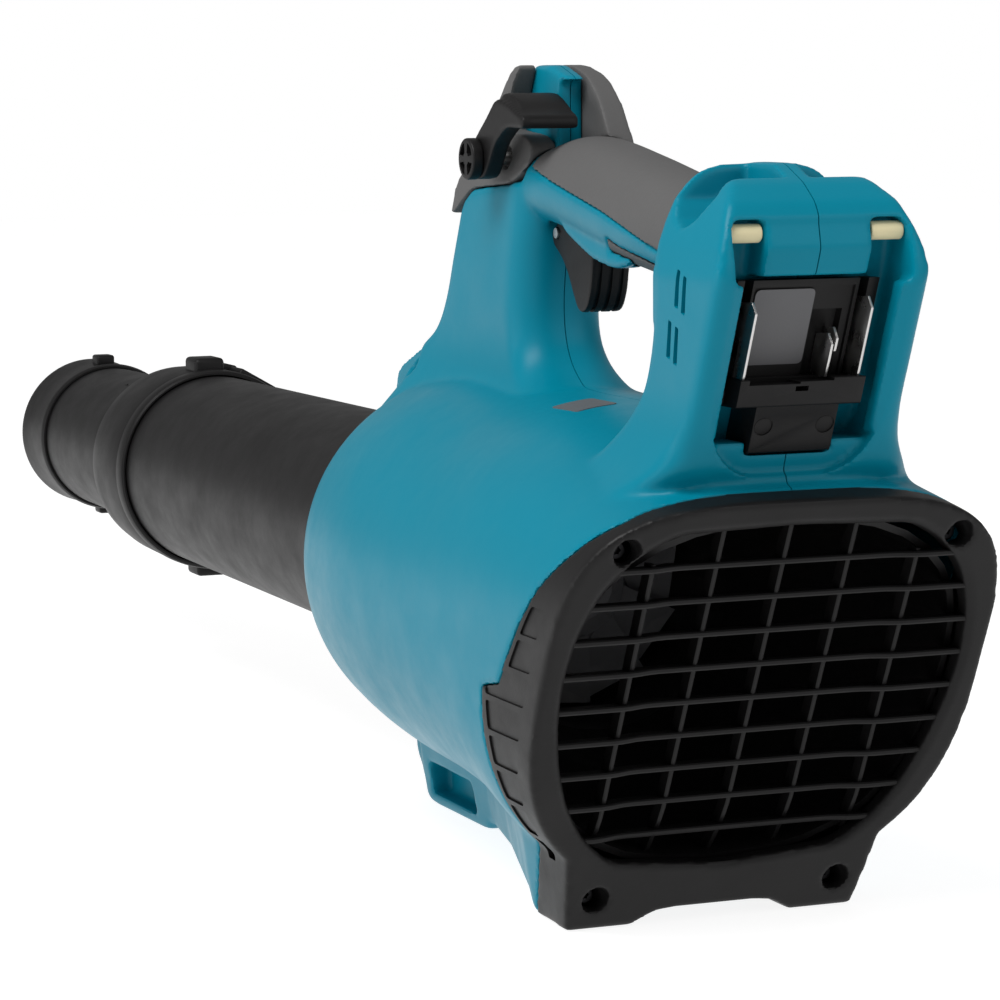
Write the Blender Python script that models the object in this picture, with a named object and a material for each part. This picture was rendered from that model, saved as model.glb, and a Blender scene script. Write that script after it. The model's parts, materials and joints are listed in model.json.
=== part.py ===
"""A hand-held cordless axial leaf blower, as an assembly of separate pieces.

The finished model is in metres with +Z up, +X towards the air outlet and +Y to the operator's
left. Its origin is the middle of the underside of its bounding box. Lengths in this script are
millimetres, which point() turns into metres. Stations along X are counted from the middle of the
intake grille, and MID_X is the station of the origin.
"""
import math

import bmesh
import bpy
from mathutils import Matrix, Vector

# ---- driving dimensions, millimetres ------------------------------------------------------
MM = 0.001
REAR_X = -42.0          # rearmost point, on the battery mount
TIP_X = 880.0           # front rim of the outlet
MID_X = (REAR_X + TIP_X) / 2
FAN_Z = 109.0           # height of the fan and tube axis
SIDES = 32              # facets round the barrel and the tubes
WALL = 3.0              # housing wall
GAP = 0.3               # clearance between neighbouring pieces
LEAN = 0.4755           # the intake face leans back this much per unit of height
FACE_FOOT_X = 50.0      # station where the intake face meets the ground
FRONT_X = 328.0         # front lip of the housing
PIPE_BORE = 51.0        # radius of the housing's front opening
MOUNT_HALF = 41.2       # half width of the battery mount
MOUNT_LEAN = 3 / 7      # the mount's rear face leans back this much per unit of height
SLOT_HALF = 34.0        # half width of the battery slot
SLOT_DEPTH = 23.0       # rear face to the slot's back wall
PITCH_Z = 13.12         # between grille bars
PITCH_Y = 26.0          # between grille uprights
GRILLE_TOP = 141.3
GRILLE_BARS = 9
COLLAR_REAR = 644.0
COLLAR_FRONT = 707.0
NOZZLE_R = 39.5
TRIGGER_PIVOT = (174.0, 0.0, 250.0)
LEVER_PIVOT = (204.0, 0.0, 279.0)
STRAP_HOLE = (329.5, 174.5)
FAN_PIVOT = (226.0, 0.0, FAN_Z)
BLADES = 12
BLADE_CHORD = 26.0
BLADE_X = 194.0         # middle of the impeller's blades
VANES = 7

# Barrel sections: station, lean, centre height, half width, top height, bottom depth,
# and the roundness of the top and of the bottom (2 is an ellipse, more is squarer).
BARREL = (
    (3.4, LEAN, 98.0, 88.0, 66.5, 84.0, 3.6, 2.7),
    (45.0, 0.40, 99.0, 88.0, 76.0, 83.0, 3.0, 2.6),
    (100.0, 0.20, 103.0, 87.0, 84.0, 81.0, 2.5, 2.3),
    (160.0, 0.06, 107.0, 86.0, 81.5, 83.0, 2.15, 2.1),
    (225.0, 0.0, FAN_Z, 84.0, 83.0, 84.0, 2.0, 2.0),
    (250.0, 0.0, FAN_Z, 82.0, 81.5, 82.0, 2.0, 2.0),
    (270.0, 0.0, FAN_Z, 79.5, 79.5, 79.5, 2.0, 2.0),
    (285.0, 0.0, FAN_Z, 77.0, 77.0, 77.0, 2.0, 2.0),
    (300.0, 0.0, FAN_Z, 72.0, 72.0, 72.0, 2.0, 2.0),
    (312.0, 0.0, FAN_Z, 66.5, 66.5, 66.5, 2.0, 2.0),
    (322.0, 0.0, FAN_Z, 60.5, 60.5, 60.5, 2.0, 2.0),
    (FRONT_X, 0.0, FAN_Z, 54.5, 54.5, 54.5, 2.0, 2.0),
)
# Column between barrel and hood: height, rear station, front station, half width.
COLUMN = (
    (165.0, 143.0, 318.0, 30.0),
    (183.0, 155.0, 314.0, 23.0),
    (190.0, 170.0, 310.0, 21.0),
    (197.0, 179.0, 304.0, 20.0),
    (206.0, 184.0, 288.0, 20.0),
    (219.0, 186.5, 276.5, 20.0),
    (236.5, 184.5, 268.0, 20.0),
    (253.0, 180.0, 260.0, 20.0),
    (270.0, 180.0, 252.0, 20.0),
)
COLUMN_ROUND = 14.0     # plan radius of the column's corners
# Side outline of the hood from its lower front corner over the top to the lower rear corner.
HOOD_FRONT = ((260, 253.3), (252, 270), (233, 288), (217.5, 303), (206, 316))
HOOD_REAR = ((192, 316), (179, 311), (169, 303), (162.5, 295), (153, 285), (152, 277))
HOOD_FOOT = ((180, 275.3), (196, 268.9), (236, 266))
# Grip sections: station, centre height, half height, half width.
GRIP = (
    (2.0, 247.5, 18.0, 19.0),
    (60.0, 254.8, 19.2, 20.0),
    (110.0, 262.2, 20.6, 20.0),
    (150.0, 268.6, 19.6, 20.0),
    (168.0, 269.0, 17.0, 19.5),
    (186.0, 268.0, 14.0, 18.5),
)
# Side outline of the line where the intake cover meets the housing, from the ground upwards.
COVER_EDGE = (
    (84, -6), (82, 0), (74, 14), (64, 32), (60, 42), (62, 72), (60, 92), (44, 95),
    (27, 117), (13, 133), (-5, 148), (-15, 158), (-19, 180),
)

# ---- colours ------------------------------------------------------------------------------
TEAL = (0.0, 0.2, 0.29)
BLACK = (0.035, 0.034, 0.037)
RUBBER = (0.05, 0.048, 0.05)
CREAM = (0.75, 0.68, 0.45)
STEEL = (0.6, 0.6, 0.62)
COPPER = (0.55, 0.27, 0.15)
GREY = (0.22, 0.22, 0.23)


def clear_scene():
    for thing in list(bpy.data.objects):
        bpy.data.objects.remove(thing)


def material(name, colour, roughness, metallic=0.0):
    made = bpy.data.materials.new(name)
    made.use_nodes = True
    shader = made.node_tree.nodes["Principled BSDF"]
    shader.inputs["Base Color"].default_value = (*colour, 1.0)
    shader.inputs["Roughness"].default_value = roughness
    shader.inputs["Metallic"].default_value = metallic
    return made


# ---- shapes -------------------------------------------------------------------------------
def point(x, y, z):
    return Vector(((x - MID_X) * MM, y * MM, z * MM))


def shape(bm):
    """A working object from a bmesh, with its faces pointing out."""
    bmesh.ops.recalc_face_normals(bm, faces=bm.faces)
    mesh = bpy.data.meshes.new("shape")
    bm.to_mesh(mesh)
    bm.free()
    made = bpy.data.objects.new("shape", mesh)
    bpy.context.scene.collection.objects.link(made)
    return made


def loft(rings, ring_closed=False):
    """Skin a row of rings; a closed row makes a ring-shaped body, an open one gets end caps."""
    bm = bmesh.new()
    loops = [[bm.verts.new(point(*p)) for p in ring] for ring in rings]
    count = len(loops[0])
    pairs = list(zip(loops, loops[1:]))
    if ring_closed:
        pairs.append((loops[-1], loops[0]))
    else:
        bm.faces.new(loops[0])
        bm.faces.new(loops[-1])
    for a, b in pairs:
        for i in range(count):
            j = (i + 1) % count
            bm.faces.new((a[i], a[j], b[j], b[i]))
    return shape(bm)


def prism_y(outline, low, high):
    """A side outline of (x, z) points, from y = low to y = high."""
    return loft([[(x, y, z) for x, z in outline] for y in (low, high)])


def prism_x(outline, low, high):
    """An end outline of (y, z) points, from x = low to x = high."""
    return loft([[(x, y, z) for y, z in outline] for x in (low, high)])


def box(x0, x1, y0, y1, z0, z1):
    return prism_y(((x0, z0), (x1, z0), (x1, z1), (x0, z1)), y0, y1)


def circle(radius, sides):
    step = 2 * math.pi / sides
    return [(radius * math.cos(i * step), radius * math.sin(i * step)) for i in range(sides)]


def turned(profile, sides=SIDES, solid=False):
    """A profile of (x, radius) points turned about the fan axis."""
    rings = [[(x, y, FAN_Z + z) for y, z in circle(r, sides)] for x, r in profile]
    return loft(rings, ring_closed=not solid)


def rod_y(x, z, radius, low, high, sides=16):
    return prism_y([(x + a, z + b) for a, b in circle(radius, sides)], low, high)


def rod(start, direction, length, radii, sides=12):
    """A stepped round bar along a direction: radii is a list of (distance, radius) points."""
    turn = Vector((0, 0, 1)).rotation_difference(Vector(direction).normalized())
    start = Vector(start)
    rings = []
    for along, radius in radii:
        ring = [start + turn @ Vector((a, b, along * length)) for a, b in circle(radius, sides)]
        rings.append([tuple(p) for p in ring])
    return loft(rings)


def apply_modifiers(thing):
    graph = bpy.context.evaluated_depsgraph_get()
    mesh = bpy.data.meshes.new_from_object(thing.evaluated_get(graph))
    thing.modifiers.clear()
    thing.data = mesh
    return thing


def combine(thing, tool, operation):
    modifier = thing.modifiers.new(operation, "BOOLEAN")
    modifier.operation = operation
    modifier.solver = "EXACT"
    modifier.object = tool
    apply_modifiers(thing)
    bpy.data.objects.remove(tool)
    return thing


def join(thing, *tools):
    for tool in tools:
        combine(thing, tool, "UNION")
    return thing


def cut(thing, *tools):
    for tool in tools:
        combine(thing, tool, "DIFFERENCE")
    return thing


def keep(thing, *tools):
    for tool in tools:
        combine(thing, tool, "INTERSECT")
    return thing


def copy(thing):
    twin = bpy.data.objects.new("shape", thing.data.copy())
    bpy.context.scene.collection.objects.link(twin)
    return twin


def rounded(thing, width, segments=2, angle=30):
    bevel = thing.modifiers.new("Round", "BEVEL")
    bevel.width = width * MM
    bevel.segments = segments
    bevel.limit_method = "ANGLE"
    bevel.angle_limit = math.radians(angle)
    return apply_modifiers(thing)


def piece(name, thing, look, pivot=(MID_X, 0.0, 0.0), sharp=35):
    """Finish a shape as a named sub-part with its origin at its pivot."""
    place = point(*pivot)
    thing.data.transform(Matrix.Translation(-place))
    thing.location = place
    bm = bmesh.new()
    bm.from_mesh(thing.data)
    bmesh.ops.remove_doubles(bm, verts=bm.verts, dist=0.00001)
    bmesh.ops.dissolve_degenerate(bm, dist=0.00001, edges=bm.edges)
    loose = [edge for edge in bm.edges if edge.is_wire]
    bmesh.ops.delete(bm, geom=loose, context="EDGES")
    bm.to_mesh(thing.data)
    bm.free()
    thing.data.shade_smooth()
    thing.data.set_sharp_from_angle(angle=math.radians(sharp))
    thing.data.materials.clear()
    thing.data.materials.append(look)
    thing.name = name
    thing.data.name = name
    return thing


# ---- housing ------------------------------------------------------------------------------
def section(x, lean, middle, half, top, bottom, top_power, bottom_power):
    """One barrel ring: a rounded square whose top and bottom have their own heights."""
    ring = []
    for i in range(SIDES):
        angle = 2 * math.pi * i / SIDES
        across, up = math.cos(angle), math.sin(angle)
        power = 2 / (top_power if up >= 0 else bottom_power)
        y = half * math.copysign(abs(across) ** power, across)
        rise = (top if up >= 0 else bottom) * math.copysign(abs(up) ** power, up)
        ring.append((x - rise * lean, y, middle + rise))
    return ring


def barrel():
    return loft([section(*row) for row in BARREL])


def air_space():
    """The hollow of the barrel: the intake opening, the barrel's inside and the front bore."""
    opening = (LEAN, 98.0, 78.5, 59.5, 75.0, 2.8, 2.6)
    rings = [section(3.4 + step, *opening) for step in (-12.0, 5.0)]
    x, lean, middle, half, top, bottom, high, low = BARREL[0]
    rings.append(section(x + 6, lean, middle, half - 4, top - 4, bottom - 4, high, low))
    for x, lean, middle, half, top, bottom, high, low in BARREL[1:10]:
        rings.append(section(x - 2, lean, middle, half - WALL, top - WALL, bottom - WALL, high, low))
    for x, radius in ((317.5, 54.3), (318.2, PIPE_BORE), (FRONT_X + 5, PIPE_BORE)):
        rings.append(section(x, 0.0, FAN_Z, radius, radius, radius, 2.0, 2.0))
    return loft(rings)


def skirt():
    """The keel under the barrel that ends in the rear and front feet."""
    def rib(x, half, ground, lean=0.0):
        rows = ((-half - 7, 45), (-half, ground), (half, ground), (half + 7, 45))
        return [(x - lean * z, y, z) for y, z in rows]
    body = loft([
        rib(FACE_FOOT_X, 59, 0, LEAN), rib(84, 57, 0), rib(98, 53, 4), rib(175, 29, 4),
        rib(218, 19, 4), rib(300, 17, 4),
    ])
    foot = ((318, 50), (311, 19), (303, 15), (300, 3), (293, 0), (228, 0), (220, 8), (215, 50))
    return join(body, prism_y(foot, -18, 18))


def cover_region(shift):
    """Everything behind the line where the intake cover meets the housing."""
    outline = [(x + shift, z + shift) for x, z in COVER_EDGE]
    return prism_y(outline + [(-150, 180), (-150, -6)], -130, 130)


def plan_ring(z, rear, front, half, corner):
    """A rounded rectangle in plan at one height."""
    ring = []
    for x, y, start in ((front - corner, half - corner, 0), (rear + corner, half - corner, 90),
                        (rear + corner, corner - half, 180), (front - corner, corner - half, 270)):
        for step in (0, 30, 60, 90):
            angle = math.radians(start + step)
            ring.append((x + corner * math.cos(angle), y + corner * math.sin(angle), z))
    return ring


def column(inset=0.0):
    """The upright between barrel and hood, or with an inset its hollow."""
    rings = []
    for z, rear, front, half in COLUMN:
        corner = COLUMN_ROUND - inset
        rings.append(plan_ring(z, rear + inset, front - inset, half - inset, corner))
    return loft(rings)


def upright():
    """The column, cut off along the line where the hood covers sit on it."""
    line = HOOD_FOOT + (HOOD_FRONT[0], (290, 250))
    return cut(column(), prism_y(line + ((290, 330), (180, 330)), -40, 40))


def strap_boss():
    """The boss over the front lip, with a cross hole for a strap hook."""
    outline = ((290, 203), (307, 196), (331, 187), (337, 182), (339, 177), (339, 170), (334, 163),
               (326, 158), (290, 175))
    return cut(rounded(prism_y(outline, -15, 15), 3, 2, 60), rod_y(*STRAP_HOLE, 4, -20, 20))


def hood_outline():
    return HOOD_FRONT + HOOD_REAR + HOOD_FOOT


def mount_x(z, depth=0.0):
    """Station of the battery mount's leaning rear face at a height, plus a depth into it."""
    return -15.0 - MOUNT_LEAN * (z - 178.0) + depth


def mount():
    side = (
        (-8, 140), (-15, 178), (REAR_X, 241), (-40, 254), (-34, 268), (-24, 275), (-9, 280.5),
        (6, 279.5), (14, 262), (13, 240), (15, 222), (20, 205.5), (24, 198), (31, 192), (41, 186),
        (56, 172), (76, 150),
    )
    end = (
        (-MOUNT_HALF, 130), (MOUNT_HALF, 130), (MOUNT_HALF, 243), (36, 262), (28, 275), (16, 282),
        (-16, 282), (-28, 275), (-36, 262), (-MOUNT_HALF, 243),
    )
    body = keep(prism_y(side, -60, 60), prism_x(end, -80, 120))
    for low, high in ((-29, -5), (5, 29)):
        cut(body, prism_y(((-23, 264), (3, 268), (5, 300), (-27, 300)), low, high))
    return body


def battery_slot():
    side = ((-80, 262), (-25, 262), (mount_x(243, SLOT_DEPTH), 243),
            (mount_x(172, SLOT_DEPTH), 172), (-80, 172))
    end = ((-SLOT_HALF, 185), (-24, 172), (24, 172), (SLOT_HALF, 185), (SLOT_HALF, 263),
           (-SLOT_HALF, 263))
    return keep(prism_y(side, -50, 50), prism_x(end, -100, 60))


def grip(inset):
    rings = []
    for x, middle, high, half in GRIP:
        rings.append(section(x, 0.0, middle, half - inset, high - inset, high - inset, 2.3, 2.3))
    return loft(rings)


def above_grip_line(shift):
    """Everything above the line where the rubber grip cover meets the housing."""
    line = ((13.6, 241.5), (50, 247), (104, 261), (172, 275), (179, 276))
    outline = [(x, z + shift) for x, z in line]
    return prism_y(outline + [(179 - shift, 310), (13.6 + shift, 310)], -40, 40)


def handle_space():
    """The hollow of the handle: the grip's inside, the trigger's slot and the column's inside."""
    inside = keep(grip(6.0), box(22, 182, -40, 40, 220, 300))
    join(inside, box(121, 184, -9, 9, 230, 266))
    return join(inside, keep(column(5.0), box(100, 340, -40, 40, 200, 262)))


def screw_places():
    """Foot of each cover screw on the leaning intake face, and the inward direction."""
    inward = Vector((1, 0, 0))
    places = []
    for height, half in ((148.7, 65.0), (12.0, 49.2)):
        for side in (1, -1):
            places.append((Vector((FACE_FOOT_X - LEAN * height, side * half, height)), inward))
    return places


def screw_holes(thing, clearance):
    for start, inward in screw_places():
        cut(thing, rod(start - inward * 4, inward, 1.0, ((0, 4.0), (10, 4.0))))
        cut(thing, rod(start, inward, 1.0, ((5, clearance), (52, clearance))))
    return thing


def housing():
    body = join(barrel(), skirt(), upright(), mount(), grip(0.0), strap_boss())
    join(body, prism_y(HOOD_FRONT[1:] + HOOD_REAR + ((158, 268), (200, 255), (254, 250)), -5, 5))
    bosses = [box(-40, 20, side * 65 - 5, side * 65 + 5, 144, 175) for side in (-1, 1)]
    cut(body, cut(air_space(), *bosses), cover_region(GAP), battery_slot(), handle_space())
    cut(body, cut(above_grip_line(-GAP), grip(2.8)))
    cut(body, cut(below_insert_line(GAP), grip(2.8)))
    bulge = ((88, 250), (91, 241), (102, 239.2), (114, 240.5), (137, 246.5), (156, 258))
    guard = rounded(prism_y(bulge, -16, 16), 3, 2, 40)
    join(body, cut(guard, handle_space(), keep(grip(-GAP), below_insert_line(GAP))))
    screw_holes(body, 2.4)
    return body


def add_housing(look):
    body = housing()
    other = copy(body)
    side_gap = GAP / 2
    cut(body, box(-200, 1000, -200, side_gap, -50, 400))
    cut(other, box(-200, 1000, -side_gap, 200, -50, 400))
    piece("housing_left", body, look)
    piece("housing_right", other, look)


# ---- intake cover ---------------------------------------------------------------------------
def grille():
    """Flat bars across the opening and uprights behind their rear edges."""
    bars = []
    for row in range(GRILLE_BARS):
        z = GRILLE_TOP - row * PITCH_Z
        x = FACE_FOOT_X - LEAN * z + 2.5
        plan = ((x, -90), (x, -52), (x + 3.5, -42), (x + 3.5, 42), (x, 52), (x, 90),
                (x + 4, 90), (x + 4, 55), (x + 8, 45), (x + 8, -45), (x + 4, -55), (x + 4, -90))
        bars.append(loft([[(a, b, z - 1.3) for a, b in plan], [(a, b, z + 1.3) for a, b in plan]]))
    for column in range(-2, 3):
        y = column * PITCH_Y
        low = GRILLE_TOP - (GRILLE_BARS - (0 if abs(column) < 2 else 1)) * PITCH_Z
        high = GRILLE_TOP + (PITCH_Z * 1.3 if abs(column) < 2 else 0)
        depth = 4.4 if abs(column) < 2 else 3.0
        low, high = low - 8 * (abs(column) < 2), high
        side = [(FACE_FOOT_X - LEAN * z + depth + d, z) for z, d in
                ((low, 0), (low, 3), (high, 3), (high, 0))]
        bars.append(prism_y(side, y - 1.2, y + 1.2))
    return bars


def add_intake_cover(look):
    body = join(barrel(), skirt())
    keep(body, cover_region(0.0))
    cut(body, air_space())
    inside = keep(barrel(), cover_region(0.0))
    for bar in grille():
        join(body, keep(bar, copy(inside)))
    bpy.data.objects.remove(inside)
    arch = ((-35, -2), (-33, 0), (-24, 6), (24, 6), (33, 0), (35, -2))
    cut(body, prism_x(arch, 30, 100))
    piece("intake_cover", screw_holes(body, 2.4), look)


def add_cover_screws(look):
    for number, (start, inward) in enumerate(screw_places(), 1):
        stages = ((3.0, 3.6), (5.7, 3.6), (5.7001, 2.0), (38, 2.0))
        piece(f"cover_screw_{number}", rod(start, inward, 1.0, stages), look)


# ---- handle fittings ------------------------------------------------------------------------
def add_grip_cover(look):
    body = keep(grip(0.0), above_grip_line(0.0))
    cut(body, grip(2.5))
    cut(body, grown_mount())
    piece("grip_cover", body, look)


def below_insert_line(shift):
    """Everything under the line where the soft insert meets the grip's underside."""
    line = ((18, 234), (57, 241.4), (97, 248.5), (104, 251), (108, 246), (108, 225), (18, 215))
    middle_x, middle_z = 62, 226
    outline = [(x + math.copysign(shift, x - middle_x), z + math.copysign(shift, z - middle_z))
               for x, z in line]
    return prism_y(outline, -40, 40)


def add_grip_insert(look):
    body = keep(grip(0.0), below_insert_line(0.0))
    piece("grip_insert", cut(body, grip(2.5)), look)


def grown_mount():
    """A block that trims the grip cover just clear of the battery mount and of the hood."""
    return join(box(-20, 14.4, -40, 40, 200, 320), box(178.5, 220, -40, 40, 200, 320))


def add_hood_covers(look):
    recess = ((200.5, 316), (214, 290), (188, 288), (180, 284), (180, 275.8))
    for name, outline, low, high in (
        ("hood_cover_left", HOOD_FRONT + recess + HOOD_FOOT[1:], 5.3, 20.0),
        ("hood_cover_right", hood_outline(), -20.0, -5.3),
    ):
        body = prism_y([(x, z + GAP) for x, z in outline], low, high)
        cut(body, grip(-0.4), rod_y(LEVER_PIVOT[0], LEVER_PIVOT[2], 4.4, 5, 30))
        piece(name, body, look)


def add_lever(look, pin_look):
    x, z = LEVER_PIVOT[0], LEVER_PIVOT[2]
    arm = ((187, 303), (182, 305), (172, 303.5), (162, 299), (156.5, 296.8), (156.5, 291.2),
           (176, 291.5), (190, 284), (196, 276), (200, 271.5), (208, 271.5), (212.5, 279),
           (208, 288), (199, 296))
    paddle = ((187, 303), (182, 305), (172, 303.5), (162, 299), (156.5, 296.8),
              (156.5, 291.2), (174, 291.4), (187, 297.5))
    body = join(prism_y(arm, 22.8, 30), prism_y(paddle, 6, 27))
    cut(body, rod_y(x, z, 3.4, 20, 40))
    piece("cruise_lever", body, look, LEVER_PIVOT)
    cap = rod_y(x, z, 8.4, 30.4, 35.0, 24)
    cut(cap, rod_y(x, z, 3.0, 20, 32.6))
    for turn in range(4):
        angle = math.radians(45 + 90 * turn)
        cut(cap, rod_y(x + 5 * math.cos(angle), z + 5 * math.sin(angle), 1.6, 33.6, 40, 8))
    piece("lever_cap", cap, look, LEVER_PIVOT)
    piece("lever_pin", rod_y(x, z, 2.7, 14.4, 32.2), pin_look, LEVER_PIVOT)


def add_trigger(look, pin_look):
    x, z = TRIGGER_PIVOT[0], TRIGGER_PIVOT[2]
    outline = ((181, 250), (179, 244), (170, 236), (161, 226), (155, 220.5), (149, 219.5),
               (141, 222), (134, 229), (129.5, 238), (128, 252), (140, 257), (170, 257))
    body = prism_y(outline, -8, 8)
    cut(body, rod_y(x, z, 2.5, -20, 20))
    piece("trigger", body, look, TRIGGER_PIVOT)
    piece("trigger_pin", rod_y(x, z, 2.1, -9.0, 9.0), pin_look, TRIGGER_PIVOT)


def add_switch(look):
    body = prism_y(((70, 252), (118, 256), (118, 270), (70, 264)), -9, 9)
    piece("switch_body", join(body, box(110, 121, -3, 3, 259, 265)), look)


# ---- battery mount fittings -----------------------------------------------------------------
def leaning(low, high, near, far):
    """Side outline of a slab inside the slot: heights, and depths behind the rear face."""
    return ((mount_x(low, near), low), (mount_x(low, far), low),
            (mount_x(high, far), high), (mount_x(high, near), high))


def add_terminals(block_look, metal_look, label_look):
    back = SLOT_DEPTH - GAP
    block = prism_y(leaning(198, 242, 16, back), -24.4, 24.4)
    join(block, prism_y(leaning(197, 207, 2, 17), -24.2, 24.2))
    join(block, prism_y(leaning(180, 199, 2.4, back - 0.4), -16, 16))
    cut(block, box(-40, 0, -2.5, 2.5, 203, 204.6))
    piece("terminal_block", block, block_look)
    for name, y in (("terminal_blade_left", 22.4), ("terminal_blade_right", -22.4)):
        piece(name, prism_y(leaning(207.3, 234, 4, 15.7), y - 0.5, y + 0.5), metal_look)
    for name, y, low, high in (("signal_terminal_1", -6.5, 207.3, 219),
                               ("signal_terminal_2", -13.0, 216, 223)):
        piece(name, prism_y(leaning(low, high, 7, 15.7), y - 0.4, y + 0.4), metal_look)
    piece("terminal_plate", prism_y(leaning(211, 240, 15.0, 15.7), -4, 20), label_look)


def add_bumpers(look):
    for name, side in (("bumper_left", 1), ("bumper_right", -1)):
        low, high = sorted((side * 21, side * 33.5))
        piece(name, rod_y(-32, 258.3, 3.3, low, high), look)


# ---- air tube -------------------------------------------------------------------------------
def add_pipe(look):
    profile = ((308, 53.5), (317, 53.5), (317, 50.3), (332, 50.2), (640, 48.6), (690, 48.6),
               (690, 46.2), (640, 46.2), (332, 47.8), (308, 47.8))
    piece("rear_pipe", turned(profile), look)


def lug(angle, x0, x1, inner, outer, half, top_half):
    """A rounded block standing on a tube at an angle round its axis."""
    rows = ((-half, inner), (half, inner), (top_half, outer), (-top_half, outer))
    turn = math.radians(angle)
    ring = [(y * math.cos(turn) - z * math.sin(turn),
             FAN_Z + y * math.sin(turn) + z * math.cos(turn)) for y, z in rows]
    return prism_x(ring, x0, x1)


def add_collar(look, seal_look):
    profile = ((COLLAR_REAR, 51.5), (652, 51.8), (690, 50.8), (COLLAR_FRONT - 3, 49.6),
               (COLLAR_FRONT, 48.2), (COLLAR_FRONT, 40.6), (694, 40.6), (694, 49.0),
               (COLLAR_REAR, 49.0))
    body = turned(profile)
    join(body, lug(0, 650, 681, 50, 60.5, 8, 6.5), lug(0, 681, 702, 49.3, 55, 8, 7))
    join(body, lug(32, 650, 698, 49.5, 53.5, 13, 11), lug(180, 652, 680, 50, 58.5, 8, 6.5))
    piece("lock_collar", body, look, (COLLAR_REAR, 0, FAN_Z))
    seal = turned(((691, 46.5), (693.6, 46.5), (693.6, 40.4), (691, 40.4)))
    piece("collar_seal", seal, seal_look)


def add_nozzle(look):
    wall = 2.2
    tube = turned(((560, 45.4), (566, 45.4), (566, 40.0), (700, 40.0), (838, NOZZLE_R - 0.6),
                   (842, NOZZLE_R - 0.6), (842, NOZZLE_R - 0.6 - wall), (700, 40.0 - wall),
                   (560, 40.0 - wall)))
    piece("front_nozzle", tube, look)
    ring = turned(((835, 39.3), (835, 40.6), (839, 41.2), (842, 40.6), (875, 41.0),
                   (TIP_X - 1, 41.2), (TIP_X, 40.4), (TIP_X, 38.6), (844, 36.9), (842.4, 36.9),
                   (842.4, 39.3)))
    join(ring, lug(0, 845, 862, 40, 46.5, 5.5, 4.8), lug(180, 845, 860, 40, 45.5, 5.5, 4.8))
    piece("outlet_ring", ring, look)


# ---- fan and motor --------------------------------------------------------------------------
def add_fan_duct(look):
    """A funnel from the intake opening to the fan, and the fan's duct."""
    wall = 2.5
    rows = (
        (14.0, LEAN, 98.0, 79.0, 60.0, 76.0, 2.45, 2.6),
        (60.0, 0.32, 99.5, 73.0, 64.0, 71.0, 2.6, 2.5),
        (110.0, 0.12, 105.0, 64.0, 62.0, 63.0, 2.2, 2.2),
        (150.0, 0.0, FAN_Z, 57.0, 57.0, 57.0, 2.0, 2.0),
        (304.0, 0.0, FAN_Z, 56.5, 56.5, 56.5, 2.0, 2.0),
    )
    outside = [section(*row) for row in rows]
    inside = [section(x, lean, middle, half - wall, top - wall, bottom - wall, high, low)
              for x, lean, middle, half, top, bottom, high, low in rows]
    piece("fan_duct", loft(outside + inside[::-1], ring_closed=True), look)


def add_stator_vanes(look):
    profile = ((212, 26), (280, 26), (280, 9.6), (271, 9.6), (269, 23.4), (222, 23.4),
               (220, 9.6), (212, 9.6))
    body = turned(profile, 24)
    for number in range(VANES):
        base = 360 / VANES * number
        rings = []
        for x, twist in ((226, 14), (244, 4), (272, 0)):
            turn = math.radians(base + twist)
            across = Vector((0, math.cos(turn), math.sin(turn)))
            side = Vector((0, -math.sin(turn), math.cos(turn)))
            corners = (across * 25 - side, across * 53.2 - side,
                       across * 53.2 + side, across * 25 + side)
            rings.append([(x, c.y, FAN_Z + c.z) for c in corners])
        join(body, loft(rings))
    piece("stator_vanes", body, look)


def add_motor(metal_look, copper_look, hub_look):
    piece("motor_windings", turned(((226, 10.4), (226, 23.0), (265, 23.0), (265, 10.4)), 24),
          copper_look)
    piece("motor_rotor", turned(((228, 4.4), (228, 9.8), (263, 9.8), (263, 4.4)), 24), metal_look,
          FAN_PIVOT)
    piece("motor_shaft", turned(((164, 4.0), (279, 4.0)), 16, True), metal_look, FAN_PIVOT)
    for name, x in (("bearing_rear", 213), ("bearing_front", 272)):
        piece(name, turned(((x, 4.4), (x, 9.3), (x + 6, 9.3), (x + 6, 4.4)), 20), metal_look)
    piece("tail_cone", turned(((280.4, 26), (291, 25), (304, 18), (312, 8)), 24, True), hub_look)
    nut = turned(((165, 7.5), (171, 7.5)), 6, True)
    cut(nut, turned(((163, 4.3), (173, 4.3)), 16, True))
    piece("impeller_nut", nut, metal_look, FAN_PIVOT)


def add_impeller(look):
    body = turned(((171.4, 4.4), (171.4, 14), (176, 21), (182, 23), (209, 23), (209, 4.4)), 24)
    for number in range(BLADES):
        rings = []
        for radius, pitch in ((21.5, 38), (38, 28), (52.3, 20)):
            base = 2 * math.pi * number / BLADES
            half = BLADE_CHORD / 2 * math.sin(math.radians(pitch))
            sweep = BLADE_CHORD / 2 * math.cos(math.radians(pitch)) / radius
            rows = ((-half, -sweep), (-half + 1.4, -sweep), (half + 0.7, sweep), (half - 0.7, sweep))
            ring = [(BLADE_X + x, radius * math.cos(base + a), FAN_Z + radius * math.sin(base + a))
                    for x, a in rows]
            rings.append(ring)
        join(body, loft(rings))
    piece("impeller", body, look, FAN_PIVOT)


def add_controller(look):
    body = rounded(box(128, 186, -17, 17, 30.5, 41), 2, 1)
    piece("controller", body, look)


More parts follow.
